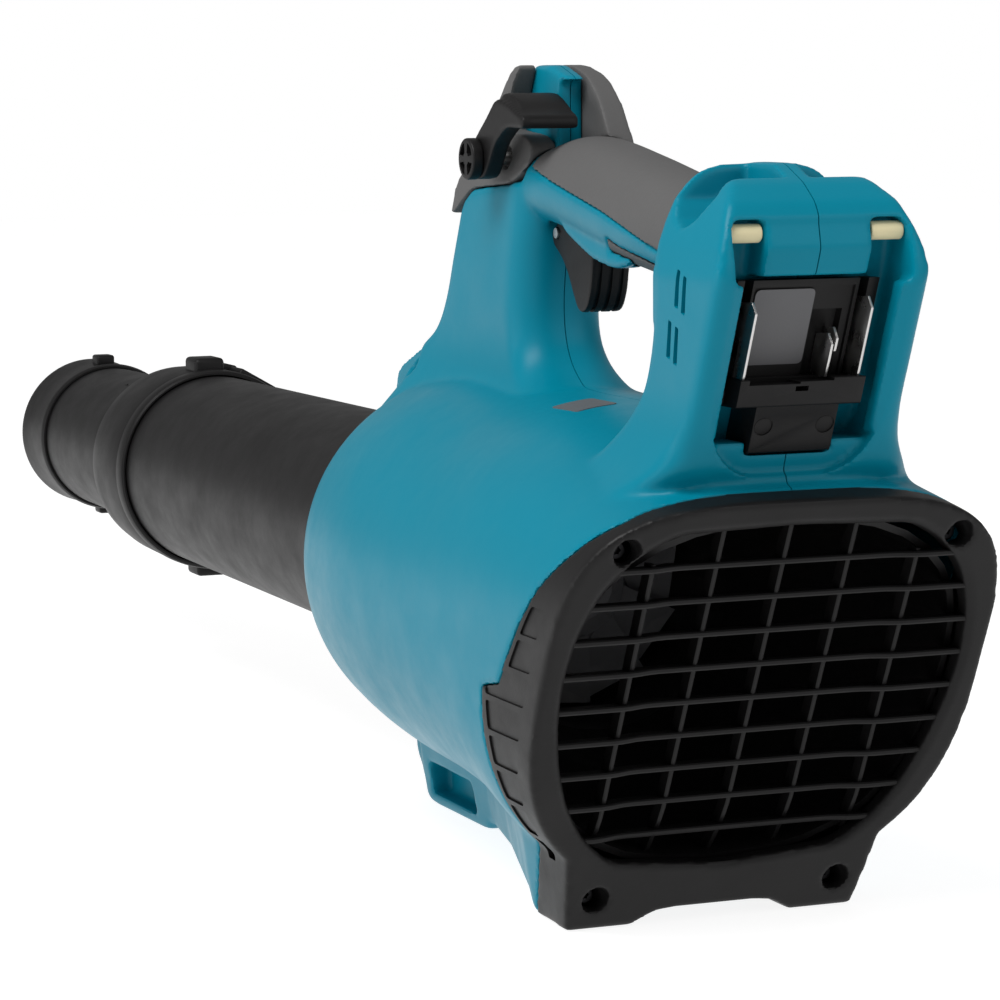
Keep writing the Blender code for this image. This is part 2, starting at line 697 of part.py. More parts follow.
def build():
    clear_scene()
    teal = material("teal_shell", TEAL, 0.42)
    black = material("black_plastic", BLACK, 0.5)
    rubber = material("grip_rubber", RUBBER, 0.75)
    steel = material("steel", STEEL, 0.3, 1.0)
    grey = material("grey_plastic", GREY, 0.6)
    add_housing(teal)
    add_intake_cover(black)
    add_cover_screws(steel)
    add_grip_cover(rubber)
    add_grip_insert(rubber)
    add_hood_covers(rubber)
    add_lever(black, steel)
    add_trigger(black, steel)
    add_switch(grey)
    add_terminals(black, steel, grey)
    add_bumpers(material("cream_rubber", CREAM, 0.6))
    add_pipe(black)
    add_collar(black, rubber)
    add_nozzle(black)
    add_fan_duct(black)
    add_stator_vanes(black)
    add_motor(steel, material("copper_windings", COPPER, 0.4, 1.0), black)
    add_impeller(grey)
    add_controller(grey)


build()
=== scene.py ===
import json
import math

import bmesh
import bpy
from mathutils import Matrix, Vector


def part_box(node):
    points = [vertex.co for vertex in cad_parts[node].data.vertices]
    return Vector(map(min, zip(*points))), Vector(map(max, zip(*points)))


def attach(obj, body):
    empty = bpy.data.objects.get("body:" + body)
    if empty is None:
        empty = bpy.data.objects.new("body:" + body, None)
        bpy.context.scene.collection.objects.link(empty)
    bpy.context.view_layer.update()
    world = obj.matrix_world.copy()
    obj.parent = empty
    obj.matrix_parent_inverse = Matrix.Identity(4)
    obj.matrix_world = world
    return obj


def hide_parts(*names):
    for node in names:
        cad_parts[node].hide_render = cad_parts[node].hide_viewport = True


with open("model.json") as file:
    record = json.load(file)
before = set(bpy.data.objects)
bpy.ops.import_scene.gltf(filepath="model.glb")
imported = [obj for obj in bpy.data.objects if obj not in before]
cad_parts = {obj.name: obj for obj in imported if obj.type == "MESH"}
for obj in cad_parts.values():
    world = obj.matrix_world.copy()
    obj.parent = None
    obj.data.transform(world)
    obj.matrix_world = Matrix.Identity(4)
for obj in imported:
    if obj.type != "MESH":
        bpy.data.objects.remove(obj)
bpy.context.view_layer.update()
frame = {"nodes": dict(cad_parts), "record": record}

# ---- the frame's own sizes -----------------------------------------------------------------
MM = 0.001
TIP_X = 880.0           # station of the outlet rim, in millimetres like every size below
MID_X = TIP_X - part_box("outlet_ring")[1].x / MM  # station of the frame's origin
FAN_Z = 109.0           # height of the fan and tube axis
GAP = 0.3               # clearance between neighbouring pieces
PARTING = 0.22          # half the gap between the housing halves
LEAN = 0.4755           # the intake face leans back this much per unit of height
FACE_FOOT_X = 50.0      # station where the intake face meets the ground
FRONT_X = 328.0         # front lip of the housing
MOUNT_LEAN = 3 / 7      # the mount's rear face leans back this much per unit of height
SLOT_HALF = 34.0        # half width of the battery slot
SLOT_DEPTH = 23.0       # rear face to the slot's back wall
PITCH_Z = 13.12         # between grille bars
PITCH_Y = 26.0          # between grille uprights
GRILLE_TOP = 141.3      # height of the top bar
GRILLE_BARS = 9
COLLAR_REAR = 644.0     # stations of the lock collar's ends
COLLAR_FRONT = 707.0
NOZZLE_R = 39.5         # outer radius of the nozzle at its mouth
TUBE_SIDES = 192        # facets round the tube's pieces
WALL = 3.0              # wall of the housing
COVER_WALL = 4.0        # wall of the intake cover
PLATE_HALF = 5.0        # half width of the hood's middle plate and the mount's middle rib
GRIP_SKIN = 2.5         # thickness of the rubber on the grip
SHARP_ANGLE = 30        # degrees between faces that still shade as one surface
TRIGGER_PIVOT = (174.0, 250.0)   # station and height of each pivot and hole across the tool
LEVER_PIVOT = (204.0, 279.0)
STRAP_HOLE = (329.5, 174.5)

# Barrel sections: station, lean, centre height, half width, top height, bottom depth,
# and the roundness of the top and of the bottom (2 is an ellipse, more is squarer).
BARREL = (
    (3.4, LEAN, 98.0, 88.0, 66.5, 84.0, 3.6, 2.7),
    (45.0, 0.40, 99.0, 88.0, 76.0, 83.0, 3.0, 2.6),
    (100.0, 0.20, 103.0, 87.0, 84.0, 81.0, 2.5, 2.3),
    (160.0, 0.06, 107.0, 86.0, 81.5, 83.0, 2.15, 2.1),
    (225.0, 0.0, FAN_Z, 84.0, 83.0, 84.0, 2.0, 2.0),
    (250.0, 0.0, FAN_Z, 82.0, 81.5, 82.0, 2.0, 2.0),
    (270.0, 0.0, FAN_Z, 79.5, 79.5, 79.5, 2.0, 2.0),
    (285.0, 0.0, FAN_Z, 77.0, 77.0, 77.0, 2.0, 2.0),
    (300.0, 0.0, FAN_Z, 72.0, 72.0, 72.0, 2.0, 2.0),
    (312.0, 0.0, FAN_Z, 66.5, 66.5, 66.5, 2.0, 2.0),
    (322.0, 0.0, FAN_Z, 60.5, 60.5, 60.5, 2.0, 2.0),
    (FRONT_X, 0.0, FAN_Z, 54.5, 54.5, 54.5, 2.0, 2.0),
)
# Grip sections: station, centre height, half height, half width.
GRIP = (
    (2.0, 247.5, 18.0, 19.0),
    (60.0, 254.8, 19.2, 20.0),
    (110.0, 262.2, 20.6, 20.0),
    (150.0, 268.6, 19.6, 20.0),
    (168.0, 269.0, 17.0, 19.5),
    (186.0, 268.0, 14.0, 18.5),
)
# Column between barrel and hood: height, rear and front station, half width, plan corner.
COLUMN = (
    (160.0, 128.0, 322.0, 52.0, 40.0),
    (172.0, 139.0, 319.0, 38.0, 28.0),
    (182.0, 153.0, 314.0, 28.0, 19.0),
    (190.0, 168.0, 310.0, 23.0, 15.0),
    (197.0, 178.0, 304.0, 21.0, 14.0),
    (206.0, 184.0, 288.0, 20.0, 14.0),
    (219.0, 186.5, 276.5, 20.0, 14.0),
    (236.5, 184.5, 268.0, 20.0, 14.0),
    (253.0, 180.0, 260.0, 20.0, 14.0),
    (270.0, 176.0, 252.0, 20.0, 14.0),
)
# Side outline of the hood: up its front, down its rear, and along the line it sits on.
HOOD_FRONT = ((260, 253.3), (252, 270), (233, 288), (217.5, 303), (206, 316))
HOOD_REAR = ((190, 316), (175, 311.5), (164.5, 303), (159, 295), (153, 285), (152, 277))
HOOD_FOOT = ((180, 275.3), (196, 268.9), (236, 266))
# Side outline of the line where the intake cover meets the housing, from the ground upwards.
COVER_EDGE = (
    (84, -6), (82, 0), (74, 14), (64, 32), (60, 42), (62, 72), (60, 92), (44, 95),
    (27, 117), (13, 133), (-5, 148), (-15, 158), (-19, 180),
)

# Half outlines across the tool, (y, z): the intake's mouth, the battery mount's crown and the hood.
MOUTH = ((0, 155.5), (46, 154), (60, 146.5), (71, 134), (77, 118), (79, 100), (77.5, 84),
         (74, 68), (68, 52), (59, 38), (46, 27), (0, 23))
CROWN = ((41.2, 225), (41.2, 243), (39.2, 253), (36, 262), (32.5, 269.3), (28, 275), (22.5, 279),
         (16, 281), (0, 281.5))
HOOD_END = ((20, 240), (20, 266), (18.5, 274), (16.3, 285), (15.3, 300), (14.2, 312), (12.5, 316),
            (0, 316))


# ---- colours, linear -----------------------------------------------------------------------
TEAL = (0.0, 0.172, 0.250)
BLACK = (0.0055, 0.0052, 0.0054)
RUBBER = (0.085, 0.084, 0.084)
CREAM = (0.62, 0.55, 0.34)
STEEL = (0.62, 0.61, 0.60)
COPPER = (0.55, 0.24, 0.12)
GREY = (0.10, 0.10, 0.105)
FLOOR = (0.30, 0.30, 0.30)


# ---- materials -----------------------------------------------------------------------------
class Nodes:
    """A short way to wire a Principled material."""

    def __init__(self, name):
        self.material = bpy.data.materials.new(name)
        self.material.use_nodes = True
        self.tree = self.material.node_tree
        self.shader = self.tree.nodes["Principled BSDF"]
        self.place = self.add("ShaderNodeTexCoord").outputs["Object"]

    def add(self, kind, **settings):
        node = self.tree.nodes.new(kind)
        for key, value in settings.items():
            setattr(node, key, value)
        return node

    def link(self, source, target):
        self.tree.links.new(source, target)

    def noise(self, scale, detail=2.0, rough=0.5, stretch=None):
        node = self.add("ShaderNodeTexNoise")
        node.inputs["Scale"].default_value = scale
        node.inputs["Detail"].default_value = detail
        node.inputs["Roughness"].default_value = rough
        place = self.place
        if stretch:
            mapping = self.add("ShaderNodeMapping")
            mapping.inputs["Scale"].default_value = stretch
            self.link(self.place, mapping.inputs["Vector"])
            place = mapping.outputs["Vector"]
        self.link(place, node.inputs["Vector"])
        return node.outputs["Fac"]

    def spread(self, source, low, high):
        """Stretch the middle of a noise's range over low to high."""
        node = self.add("ShaderNodeMapRange")
        node.inputs["From Min"].default_value = 0.3
        node.inputs["From Max"].default_value = 0.7
        node.inputs["To Min"].default_value = low
        node.inputs["To Max"].default_value = high
        self.link(source, node.inputs["Value"])
        return node.outputs["Result"]

    def mix(self, factor, first, second):
        node = self.add("ShaderNodeMix", data_type="RGBA")
        self.link(factor, node.inputs["Factor"])
        for socket, value in ((node.inputs[6], first), (node.inputs[7], second)):
            if isinstance(value, tuple):
                socket.default_value = (*value, 1.0)
            else:
                self.link(value, socket)
        return node.outputs[2]

    def bump(self, height, strength, distance, under=None):
        node = self.add("ShaderNodeBump")
        node.inputs["Strength"].default_value = strength
        node.inputs["Distance"].default_value = distance
        self.link(height, node.inputs["Height"])
        if under:
            self.link(under, node.inputs["Normal"])
        return node.outputs["Normal"]


def tinted(colour, factor):
    return tuple(min(1.0, c * factor) for c in colour)


def moulded(name, colour, rough, grain=1400.0, depth=0.25, shine=0.25, shift=0.05):
    """Moulded plastic or rubber: spark-eroded grain, faint flow marks and handling polish."""
    made = Nodes(name)
    flow = made.noise(9.0, 3.0, 0.6, (0.5, 1.0, 1.0))
    rubbed = made.noise(45.0, 4.0, 0.65)
    colour_out = made.mix(made.spread(flow, 0.0, 1.0), tinted(colour, 1 - shift),
                          tinted(colour, 1 + shift))
    made.link(colour_out, made.shader.inputs["Base Color"])
    made.link(made.spread(rubbed, rough - 0.05, rough + 0.07), made.shader.inputs["Roughness"])
    fine = made.bump(made.noise(grain, 1.0), depth, 0.00012)
    made.link(made.bump(flow, 0.03, 0.0008, fine), made.shader.inputs["Normal"])
    made.shader.inputs["Specular IOR Level"].default_value = shine
    return made.material


def metal(name, colour, rough, stretch):
    """Bare metal with fine drawing lines and dull patches."""
    made = Nodes(name)
    lines = made.noise(600.0, 2.0, 0.6, stretch)
    dull = made.noise(120.0, 3.0)
    made.link(made.mix(dull, tinted(colour, 0.8), colour), made.shader.inputs["Base Color"])
    made.link(made.spread(dull, rough - 0.06, rough + 0.12), made.shader.inputs["Roughness"])
    made.link(made.bump(lines, 0.15, 0.00005), made.shader.inputs["Normal"])
    made.shader.inputs["Metallic"].default_value = 1.0
    return made.material


def paper(name, colour, glow):
    """Matt paper that glows a little, so that it stays white."""
    made = Nodes(name)
    made.shader.inputs["Emission Color"].default_value = (1.0, 1.0, 1.0, 1.0)
    made.shader.inputs["Emission Strength"].default_value = glow
    made.link(made.mix(made.noise(300.0), tinted(colour, 0.94), colour),
              made.shader.inputs["Base Color"])
    made.link(made.spread(made.noise(80.0), 0.6, 0.8), made.shader.inputs["Roughness"])
    return made.material


LOOKS = {
    "teal_shell": moulded("teal_shell", TEAL, 0.36, 1500.0, 0.15, 0.12, 0.03),
    "black_plastic": moulded("black_plastic", BLACK, 0.46, 1300.0, 0.25, 0.2),
    "grip_rubber": moulded("grip_rubber", RUBBER, 0.6, 1000.0, 0.5, 0.25),
    "cream_rubber": moulded("cream_rubber", CREAM, 0.5, 900.0, 0.15),
    "grey_plastic": moulded("grey_plastic", GREY, 0.5, 900.0, 0.3),
    "black_steel": metal("black_steel", (0.03, 0.03, 0.032), 0.35, (1.0, 1.0, 8.0)),
    "steel": metal("steel", STEEL, 0.28, (1.0, 1.0, 8.0)),
    "copper_windings": metal("copper_windings", COPPER, 0.35, (1.0, 8.0, 1.0)),
}
SLOT_OF = {part["node"]: part["material_slot"] for part in frame["record"]["subparts"]}


# ---- shapes --------------------------------------------------------------------------------
def point(x, y, z):
    return Vector(((x - MID_X) * MM, y * MM, z * MM))


def shape(bm):
    """A working object from a bmesh, with its faces pointing out."""
    bmesh.ops.recalc_face_normals(bm, faces=bm.faces)
    mesh = bpy.data.meshes.new("shape")
    bm.to_mesh(mesh)
    bm.free()
    made = bpy.data.objects.new("shape", mesh)
    bpy.context.scene.collection.objects.link(made)
    return made


def loft(rings, ring_closed=False):
    """Skin a row of rings; a closed row makes a ring-shaped body, an open one gets end caps."""
    bm = bmesh.new()
    loops = [[bm.verts.new(point(*p)) for p in ring] for ring in rings]
    count = len(loops[0])
    pairs = list(zip(loops, loops[1:]))
    if ring_closed:
        pairs.append((loops[-1], loops[0]))
    else:
        bm.faces.new(loops[0])
        bm.faces.new(loops[-1])
    for a, b in pairs:
        for i in range(count):
            j = (i + 1) % count
            bm.faces.new((a[i], a[j], b[j], b[i]))
    return shape(bm)


def prism_y(outline, low, high):
    return loft([[(x, y, z) for x, z in outline] for y in (low, high)])


def prism_x(outline, low, high):
    return loft([[(x, y, z) for y, z in outline] for x in (low, high)])


def box(x0, x1, y0, y1, z0, z1):
    return prism_y(((x0, z0), (x1, z0), (x1, z1), (x0, z1)), y0, y1)


def circle(radius, sides):
    step = 2 * math.pi / sides
    return [(radius * math.cos(i * step), radius * math.sin(i * step)) for i in range(sides)]


def turned(profile, sides=144, solid=False):
    """A profile of (x, radius) points turned about the tube's axis."""
    rings = [[(x, y, FAN_Z + z) for y, z in circle(r, sides)] for x, r in profile]
    return loft(rings, ring_closed=not solid)


def rod_y(x, z, radius, low, high, sides=48):
    return prism_y([(x + a, z + b) for a, b in circle(radius, sides)], low, high)


def rod(start, direction, radii):
    """A stepped round bar along a direction: radii holds (distance, radius) points."""
    turn = Vector((0, 0, 1)).rotation_difference(Vector(direction).normalized())
    start = Vector(start)
    return loft([[tuple(start + turn @ Vector((a, b, along))) for a, b in circle(radius, 40)]
                 for along, radius in radii])


def softened(outline, radius, steps=5):
    """An outline whose corners are replaced by short curves of about a radius."""
    curve = []
    count = len(outline)
    for i, corner in enumerate(outline):
        corner = Vector(corner)
        before, after = Vector(outline[i - 1]), Vector(outline[(i + 1) % count])
        reach = min(radius, (before - corner).length * 0.45, (after - corner).length * 0.45)
        start = corner + (before - corner).normalized() * reach
        end = corner + (after - corner).normalized() * reach
        for step in range(steps + 1):
            t = step / steps
            curve.append(tuple(start.lerp(corner, t).lerp(corner.lerp(end, t), t)))
    return curve


def spline(rows, step):
    """The rows of a shape table, refilled at close stations on smooth curves."""
    last = len(rows) - 1

    def slope(i, k):
        low, high = rows[max(i - 1, 0)], rows[min(i + 1, last)]
        return (high[k] - low[k]) / (high[0] - low[0])

    close = []
    for i in range(last):
        low, high = rows[i], rows[i + 1]
        span = high[0] - low[0]
        count = max(1, round(abs(span) / step))
        for part in range(count):
            t = part / count
            keep_low, keep_high = 2 * t ** 3 - 3 * t ** 2 + 1, 3 * t ** 2 - 2 * t ** 3
            bend_low, bend_high = t ** 3 - 2 * t ** 2 + t, t ** 3 - t ** 2
            row = [low[0] + span * t]
            for k in range(1, len(low)):
                row.append(keep_low * low[k] + keep_high * high[k]
                           + span * (bend_low * slope(i, k) + bend_high * slope(i + 1, k)))
            close.append(row)
    return close + [list(rows[-1])]


def baked(thing):
    graph = bpy.context.evaluated_depsgraph_get()
    mesh = bpy.data.meshes.new_from_object(thing.evaluated_get(graph))
    thing.modifiers.clear()
    thing.data = mesh
    return thing


def combine(thing, tools, operation):
    for tool in tools:
        modifier = thing.modifiers.new(operation, "BOOLEAN")
        modifier.operation = operation
        modifier.solver = "MANIFOLD"
        modifier.object = tool
        baked(thing)
        bpy.data.objects.remove(tool)
    return thing


def join(thing, *tools):
    return combine(thing, tools, "UNION")


def cut(thing, *tools):
    return combine(thing, tools, "DIFFERENCE")


def keep(thing, *tools):
    return combine(thing, tools, "INTERSECT")


def copy(thing):
    twin = bpy.data.objects.new("shape", thing.data.copy())
    bpy.context.scene.collection.objects.link(twin)
    return twin


def cast(thing, voxel, passes):
    """Remake a shape as an even skin, with its edges and inner corners worn round."""
    skin = thing.modifiers.new("Skin", "REMESH")
    skin.mode = "VOXEL"
    skin.voxel_size = voxel * MM
    smooth = thing.modifiers.new("Soften", "SMOOTH")
    smooth.factor = 0.5
    smooth.iterations = passes
    return baked(thing)


def fused(parts, voxel, passes):
    """Melt overlapping shapes into one body with filleted joins."""
    bm = bmesh.new()
    for part in parts:
        bm.from_mesh(part.data)
        bpy.data.objects.remove(part)
    mesh = bpy.data.meshes.new("shape")
    bm.to_mesh(mesh)
    bm.free()
    whole = bpy.data.objects.new("shape", mesh)
    bpy.context.scene.collection.objects.link(whole)
    return cast(whole, voxel, passes)


def rounded(thing, width, segments=3, angle=30):
    bevel = thing.modifiers.new("Round", "BEVEL")
    bevel.width = width * MM
    bevel.segments = segments
    bevel.limit_method = "ANGLE"
    bevel.angle_limit = math.radians(angle)
    return baked(thing)


def finished(name, thing, look, body, replaces=()):
    """Name a shape, dress it, and hang it on a body in place of the nodes it stands for."""
    thing.data.shade_smooth()
    thing.data.set_sharp_from_angle(angle=math.radians(SHARP_ANGLE))
    thing.data.materials.clear()
    thing.data.materials.append(LOOKS[look])
    thing.name = name
    thing.data.name = name
    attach(thing, body)
    if replaces:
        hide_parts(*replaces)
    return thing


# ---- housing -------------------------------------------------------------------------------
def section(x, lean, middle, half, top, bottom, top_power=2.3, bottom_power=2.3, sides=144):
    """One ring across the tool: a rounded square with its own top and bottom heights."""
    ring = []
    for i in range(sides):
        angle = 2 * math.pi * i / sides
        across, up = math.cos(angle), math.sin(angle)
        power = 2 / (top_power if up >= 0 else bottom_power)
        y = half * math.copysign(abs(across) ** power, across)
        rise = (top if up >= 0 else bottom) * math.copysign(abs(up) ** power, up)
        ring.append((x - rise * lean, y, middle + rise))
    return ring


def plan_ring(z, rear, front, half, corner, steps=7):
    """A rounded rectangle in plan at one height."""
    ring = []
    for x, y, start in ((front - corner, half - corner, 0), (rear + corner, half - corner, 90),
                        (rear + corner, corner - half, 180), (front - corner, corner - half, 270)):
        for step in range(steps + 1):
            angle = math.radians(start + 90 * step / steps)
            ring.append((x + corner * math.cos(angle), y + corner * math.sin(angle), z))
    return ring


def set_in(row, inset):
    """A barrel section, without its station, brought inwards by a wall."""
    lean, middle, half, top, bottom, high, low = row
    return (lean, middle, half - inset, top - inset, bottom - inset, high, low)


def barrel(inset=0.0):
    rows = [(x, *set_in(row, inset)) for x, *row in BARREL]
    return loft([section(*row) for row in spline(rows, 3.0)])


def skirt():
    """The keel under the barrel with the rear skirt and the front foot."""
    def rib(x, half, ground, lean=0.0):
        rows = ((-half - 8, 48), (-half, ground), (half, ground), (half + 8, 48))
        return [(x - lean * z, y, z) for y, z in rows]
    body = loft([rib(FACE_FOOT_X, 59, 0, LEAN), rib(84, 57, 0), rib(98, 53, 4), rib(175, 29, 4),
                 rib(218, 19, 4), rib(300, 17, 4)])
    foot = prism_y(softened(((318, 52), (311, 19), (303, 12), (299, 2), (293, 0), (228, 0),
                             (221, 8), (215, 52)), 4), -18, 18)
    return [body, foot]


def cover_region(shift):
    """Everything behind the line where the intake cover meets the housing."""
    outline = [(x + shift, z + shift) for x, z in COVER_EDGE]
    return prism_y(outline + [(-150, 180), (-150, -6)], -130, 130)


def column():
    """The upright between barrel and hood, cut off where the hood covers sit on it."""
    body = loft([plan_ring(*row) for row in spline(COLUMN, 2.5)])
    line = HOOD_FOOT + (HOOD_FRONT[0], (290, 250))
    return cut(body, prism_y(line + ((290, 330), (180, 330)), -60, 60))


def mount_x(z, depth=0.0):
    """Station of the battery mount's leaning rear face at a height, plus a depth into it."""
    return -15.0 - MOUNT_LEAN * (z - 178.0) + depth


def mirrored(half):
    """A closed (y, z) outline from its half outline, which may start and end on the middle."""
    return list(half) + [(-y, z) for y, z in reversed(half) if y]


def crown(inset=0.0):
    """The mount's outline from behind, set in by a wall."""
    return mirrored([(y - inset if y else 0, z - inset) for y, z in CROWN])


def mount():
    """The battery mount, with a flared foot, a crowned top and a leaning rear face."""
    rows = ((148, 4, 92, 80, 26), (157, 0, 78, 70, 22), (166, -6, 65, 59, 17),
            (174, mount_x(175), 54, 50.5, 12), (182, mount_x(182), 44, 45.5, 9),
            (190, mount_x(190), 34, 42.8, 7), (200, mount_x(200), 24, 41.4, 5.5),
            (210, mount_x(210), 18.5, 41.2, 5), (222, mount_x(222), 15, 41.2, 5),
            (241, mount_x(241), 13.3, 41.2, 5), (284, mount_x(284), 13.3, 41.2, 5))
    body = loft([plan_ring(*row) for row in spline(rows, 2.5)])
    side = ((-70, 130), (-70, 236), (-42.3, 241), (-41, 250), (-38.5, 259), (-33, 268.5),
            (-24, 275), (-9, 281.5), (11, 281.5), (13.5, 278), (13.5, 240), (120, 200), (120, 130))
    end = [(100, 130), (100, 225)] + crown() + [(-100, 225), (-100, 130)]
    return keep(body, prism_y(side, -110, 110), prism_x(end, -90, 130))


def mount_pockets():
    """The two hand recesses behind the mount's front wall, either side of the middle rib."""
    side = ((-19, 300), (-19, 270), (-11, 262), (-3, 259), (4, 262), (11, 270), (11, 300))
    return [cut(prism_y(side, low, high), prism_x(crown(9.0), -90, 60))
            for low, high in ((PLATE_HALF, 60), (-60, -PLATE_HALF))]


def battery_slot():
    side = ((-90, 263), (-25, 263), (mount_x(243, SLOT_DEPTH), 243),
            (mount_x(172, SLOT_DEPTH), 172), (-90, 172))
    half = ((0, 172), (17, 172), (27, 178), (SLOT_HALF, 192), (SLOT_HALF, 265))
    return keep(prism_y(side, -50, 50), prism_x(softened(mirrored(half), 9, 6), -100, 60))


def leaning(low, high, near, far):
    """Side outline of a slab in the slot: heights, and depths behind the rear face."""
    return ((mount_x(low, near), low), (mount_x(low, far), low),
            (mount_x(high, far), high), (mount_x(high, near), high))


def slot_blocks():
    """The roof wedge, the rails and the floor blocks inside the battery slot."""
    wedge = ((-35, 264), (-35.5, 262), (-37.5, 253), (mount_x(243.4, 9.5), 243.4),
             (mount_x(243.4, 40), 243.4), (mount_x(264, 40), 264))
    blocks = [prism_y(wedge, -20.5, 20.5)]
    for side in (-1, 1):
        low, high = sorted((side * 30.0, side * 36.0))
        blocks.append(prism_y(leaning(188, 241, 1.2, 9), low, high))
        low, high = sorted((side * 16.6, side * 36.0))
        blocks.append(prism_y(leaning(166, 184.5, 4.2, 30), low, high))
    blocks.append(prism_y(leaning(166, 179.4, 4.2, 30), -20, 20))
    return blocks


def grip(inset):
    return loft([section(x, 0.0, middle, half - inset, high - inset, high - inset, sides=96)
                 for x, middle, high, half in spline(GRIP, 3.0)])


def above_grip_line(shift):
    """Everything above the line where the rubber grip cover meets the housing."""
    line = ((13.6, 241.5), (50, 247), (104, 261), (172, 275), (179, 276))
    outline = [(x, z + shift) for x, z in line]
    return prism_y(outline + [(179 - shift, 310), (13.6 + shift, 310)], -40, 40)


def strap_boss():
    outline = ((285, 206), (296, 200.5), (307, 196), (331, 187), (337, 183), (339, 177),
               (338.5, 170), (334, 163), (322, 157), (285, 168))
    return prism_y(softened(outline, 4), -15, 15)


def screw_places():
    """Foot of each cover screw on the leaning intake face, and the inward direction."""
    inward = Vector((1, 0, 0))
    return [(Vector((FACE_FOOT_X - LEAN * height, side * half, height)), inward)
            for height, half in ((148.7, 65.0), (12.0, 49.2)) for side in (1, -1)]


def vent_slots():
    """Four slits in the mount's left side."""
    rise = 6.2
    slots = []
    for x, z in ((-8.5, 238.5), (-14.0, 236.5), (-1.8, 220.5), (-7.4, 218.6)):
        slit = ((x - 2.6, z + rise), (x, z + rise + 0.8), (x + 2.0, z - rise),
                (x - 1.2, z - rise - 0.8))
        slots.append(prism_y(softened(slit, 0.6, 2), 38.2, 50))
    return slots


def housing():
    """The solid outside of both halves in one piece; its air space is cut out later."""
    bulge = ((76, 252), (90, 241), (102, 239.4), (114, 240.7), (124, 242.5), (137, 246.8),
             (152, 252.5), (158, 262))
    plate = HOOD_FRONT[1:] + HOOD_REAR + ((158, 268), (200, 255), (254, 250))
    body = fused([barrel(), *skirt(), column(), mount(), grip(0.0), strap_boss(),
                  prism_y(plate, -PLATE_HALF, PLATE_HALF)], 1.3, 9)
    cut(body, cover_region(GAP), battery_slot(), *mount_pockets())
    join(body, *slot_blocks(), rounded(prism_x(crown(0.4), 10, 13.3), 0.8))
    cut(body, turned(((314, 51), (334, 51)), solid=True))
    for side in (-1, 1):
        low, high = sorted((side * 9, side * 40))
        cut(body, prism_y(softened(((238, 5), (291, 5), (291, 19), (238, 19)), 3), low, high))
        low, high = sorted((side * 12.5, side * 30))
        cut(body, prism_y(softened(((293, 204), (303, 199), (303, 187), (298, 184), (293, 188)), 2),
                          low, high))
    join(body, strap_boss())
    cut(body, rod_y(*STRAP_HOLE, 4.1, -30, 30))
    for rubber in (above_grip_line(-GAP), below_insert_line(GAP)):
        cut(body, cut(rubber, grip(GRIP_SKIN + GAP)))
    guard = prism_y(softened(bulge, 5), -16, 16)
    join(body, cut(guard, keep(grip(-GAP), below_insert_line(GAP))))
    cut(body, box(121, 181, -9, 9, 225, 262))
    cast(body, 1.15, 4)
    return cut(body, *vent_slots())


def add_housing():
    """Both shells: the housing emptied along the air's way and split on the middle plane."""
    body = housing()
    rows = [(x - 2, *set_in(row, WALL)) for x, *row in BARREL[1:10]]
    x, *row = BARREL[0]
    rings = [section(x + shift, *set_in(row, COVER_WALL)) for shift in (-30, 6)]
    rings += [section(*row) for row in rows]
    rings += [section(x, 0.0, FAN_Z, r, r, r, 2.0, 2.0)
              for x, r in ((317.5, 54.3), (318.2, 51.0), (334, 51.0))]
    cut(body, loft(rings))
    other = copy(body)
    cut(body, box(-200, 1000, -200, PARTING, -50, 400))
    cut(other, box(-200, 1000, -PARTING, 200, -50, 400))
    finished("shell_left", body, "teal_shell", "housing", ["housing_left"])
    finished("shell_right", other, "teal_shell", "housing", ["housing_right"])


# ---- intake cover --------------------------------------------------------------------------
def bar(z):
    """One grille slat: flat blades with rounded rear edges, set deeper across the middle."""
    x = FACE_FOOT_X - LEAN * z + 2.3
    path = ((-92, 0), (-54, 0), (-50, 0.8), (-44, 3.2), (-40, 3.8), (0, 4.1), (40, 3.8), (44, 3.2),
            (50, 0.8), (54, 0), (92, 0))
    rings = []
    for y, deep in path:
        rear, front = x + deep, x + deep + 9.0
        rings.append([(rear, y, z - 0.5), (rear + 0.5, y, z - 1.05), (front, y, z - 0.6),
                      (front, y, z + 0.6), (rear + 0.5, y, z + 1.05), (rear, y, z + 0.5)])
    return loft(rings)


def upright(number):
    """One grille upright behind the slats, bending forward near the bottom."""
    y = number * PITCH_Y
    outer = abs(number) == 2
    low = GRILLE_TOP - (GRILLE_BARS - (0.6 if outer else 0)) * PITCH_Z
    high = GRILLE_TOP + (2.0 if outer else PITCH_Z * 1.5)
    rings = []
    for step in range(25):
        z = low + (high - low) * step / 24
        x = FACE_FOOT_X - LEAN * z + (4.6 if outer else 7.4)
        x += 10.0 * max(0.0, (GRILLE_TOP - 7.2 * PITCH_Z - z) / (2 * PITCH_Z)) ** 1.5
        rings.append([(x, y - 0.35, z), (x + 0.4, y - 0.9, z), (x + 7, y - 0.7, z),
                      (x + 7, y + 0.7, z), (x + 0.4, y + 0.9, z), (x, y + 0.35, z)])
    return loft(rings)


def side_pads():
    """Shallow pads let into the cover's sides between the levels of the slats."""
    pads = []
    for row in range(1, 9):
        low, high = GRILLE_TOP - (row + 1) * PITCH_Z + 1.1, GRILLE_TOP - row * PITCH_Z - 1.1
        rear = [FACE_FOOT_X - LEAN * z + 12.5 for z in (low, high)]
        if low > 92:
            front = [27 - (z - 117) * 0.78 - 4.5 for z in (low, high)]
        else:
            front = [56.0, 56.0]
        outline = ((rear[0], low), (front[0], low), (front[1], high), (rear[1], high))
        for side in (-1, 1):
            start, end = sorted((side * 50, side * 100))
            pads.append(prism_y(softened(outline, 1.6), start, end))
    return pads


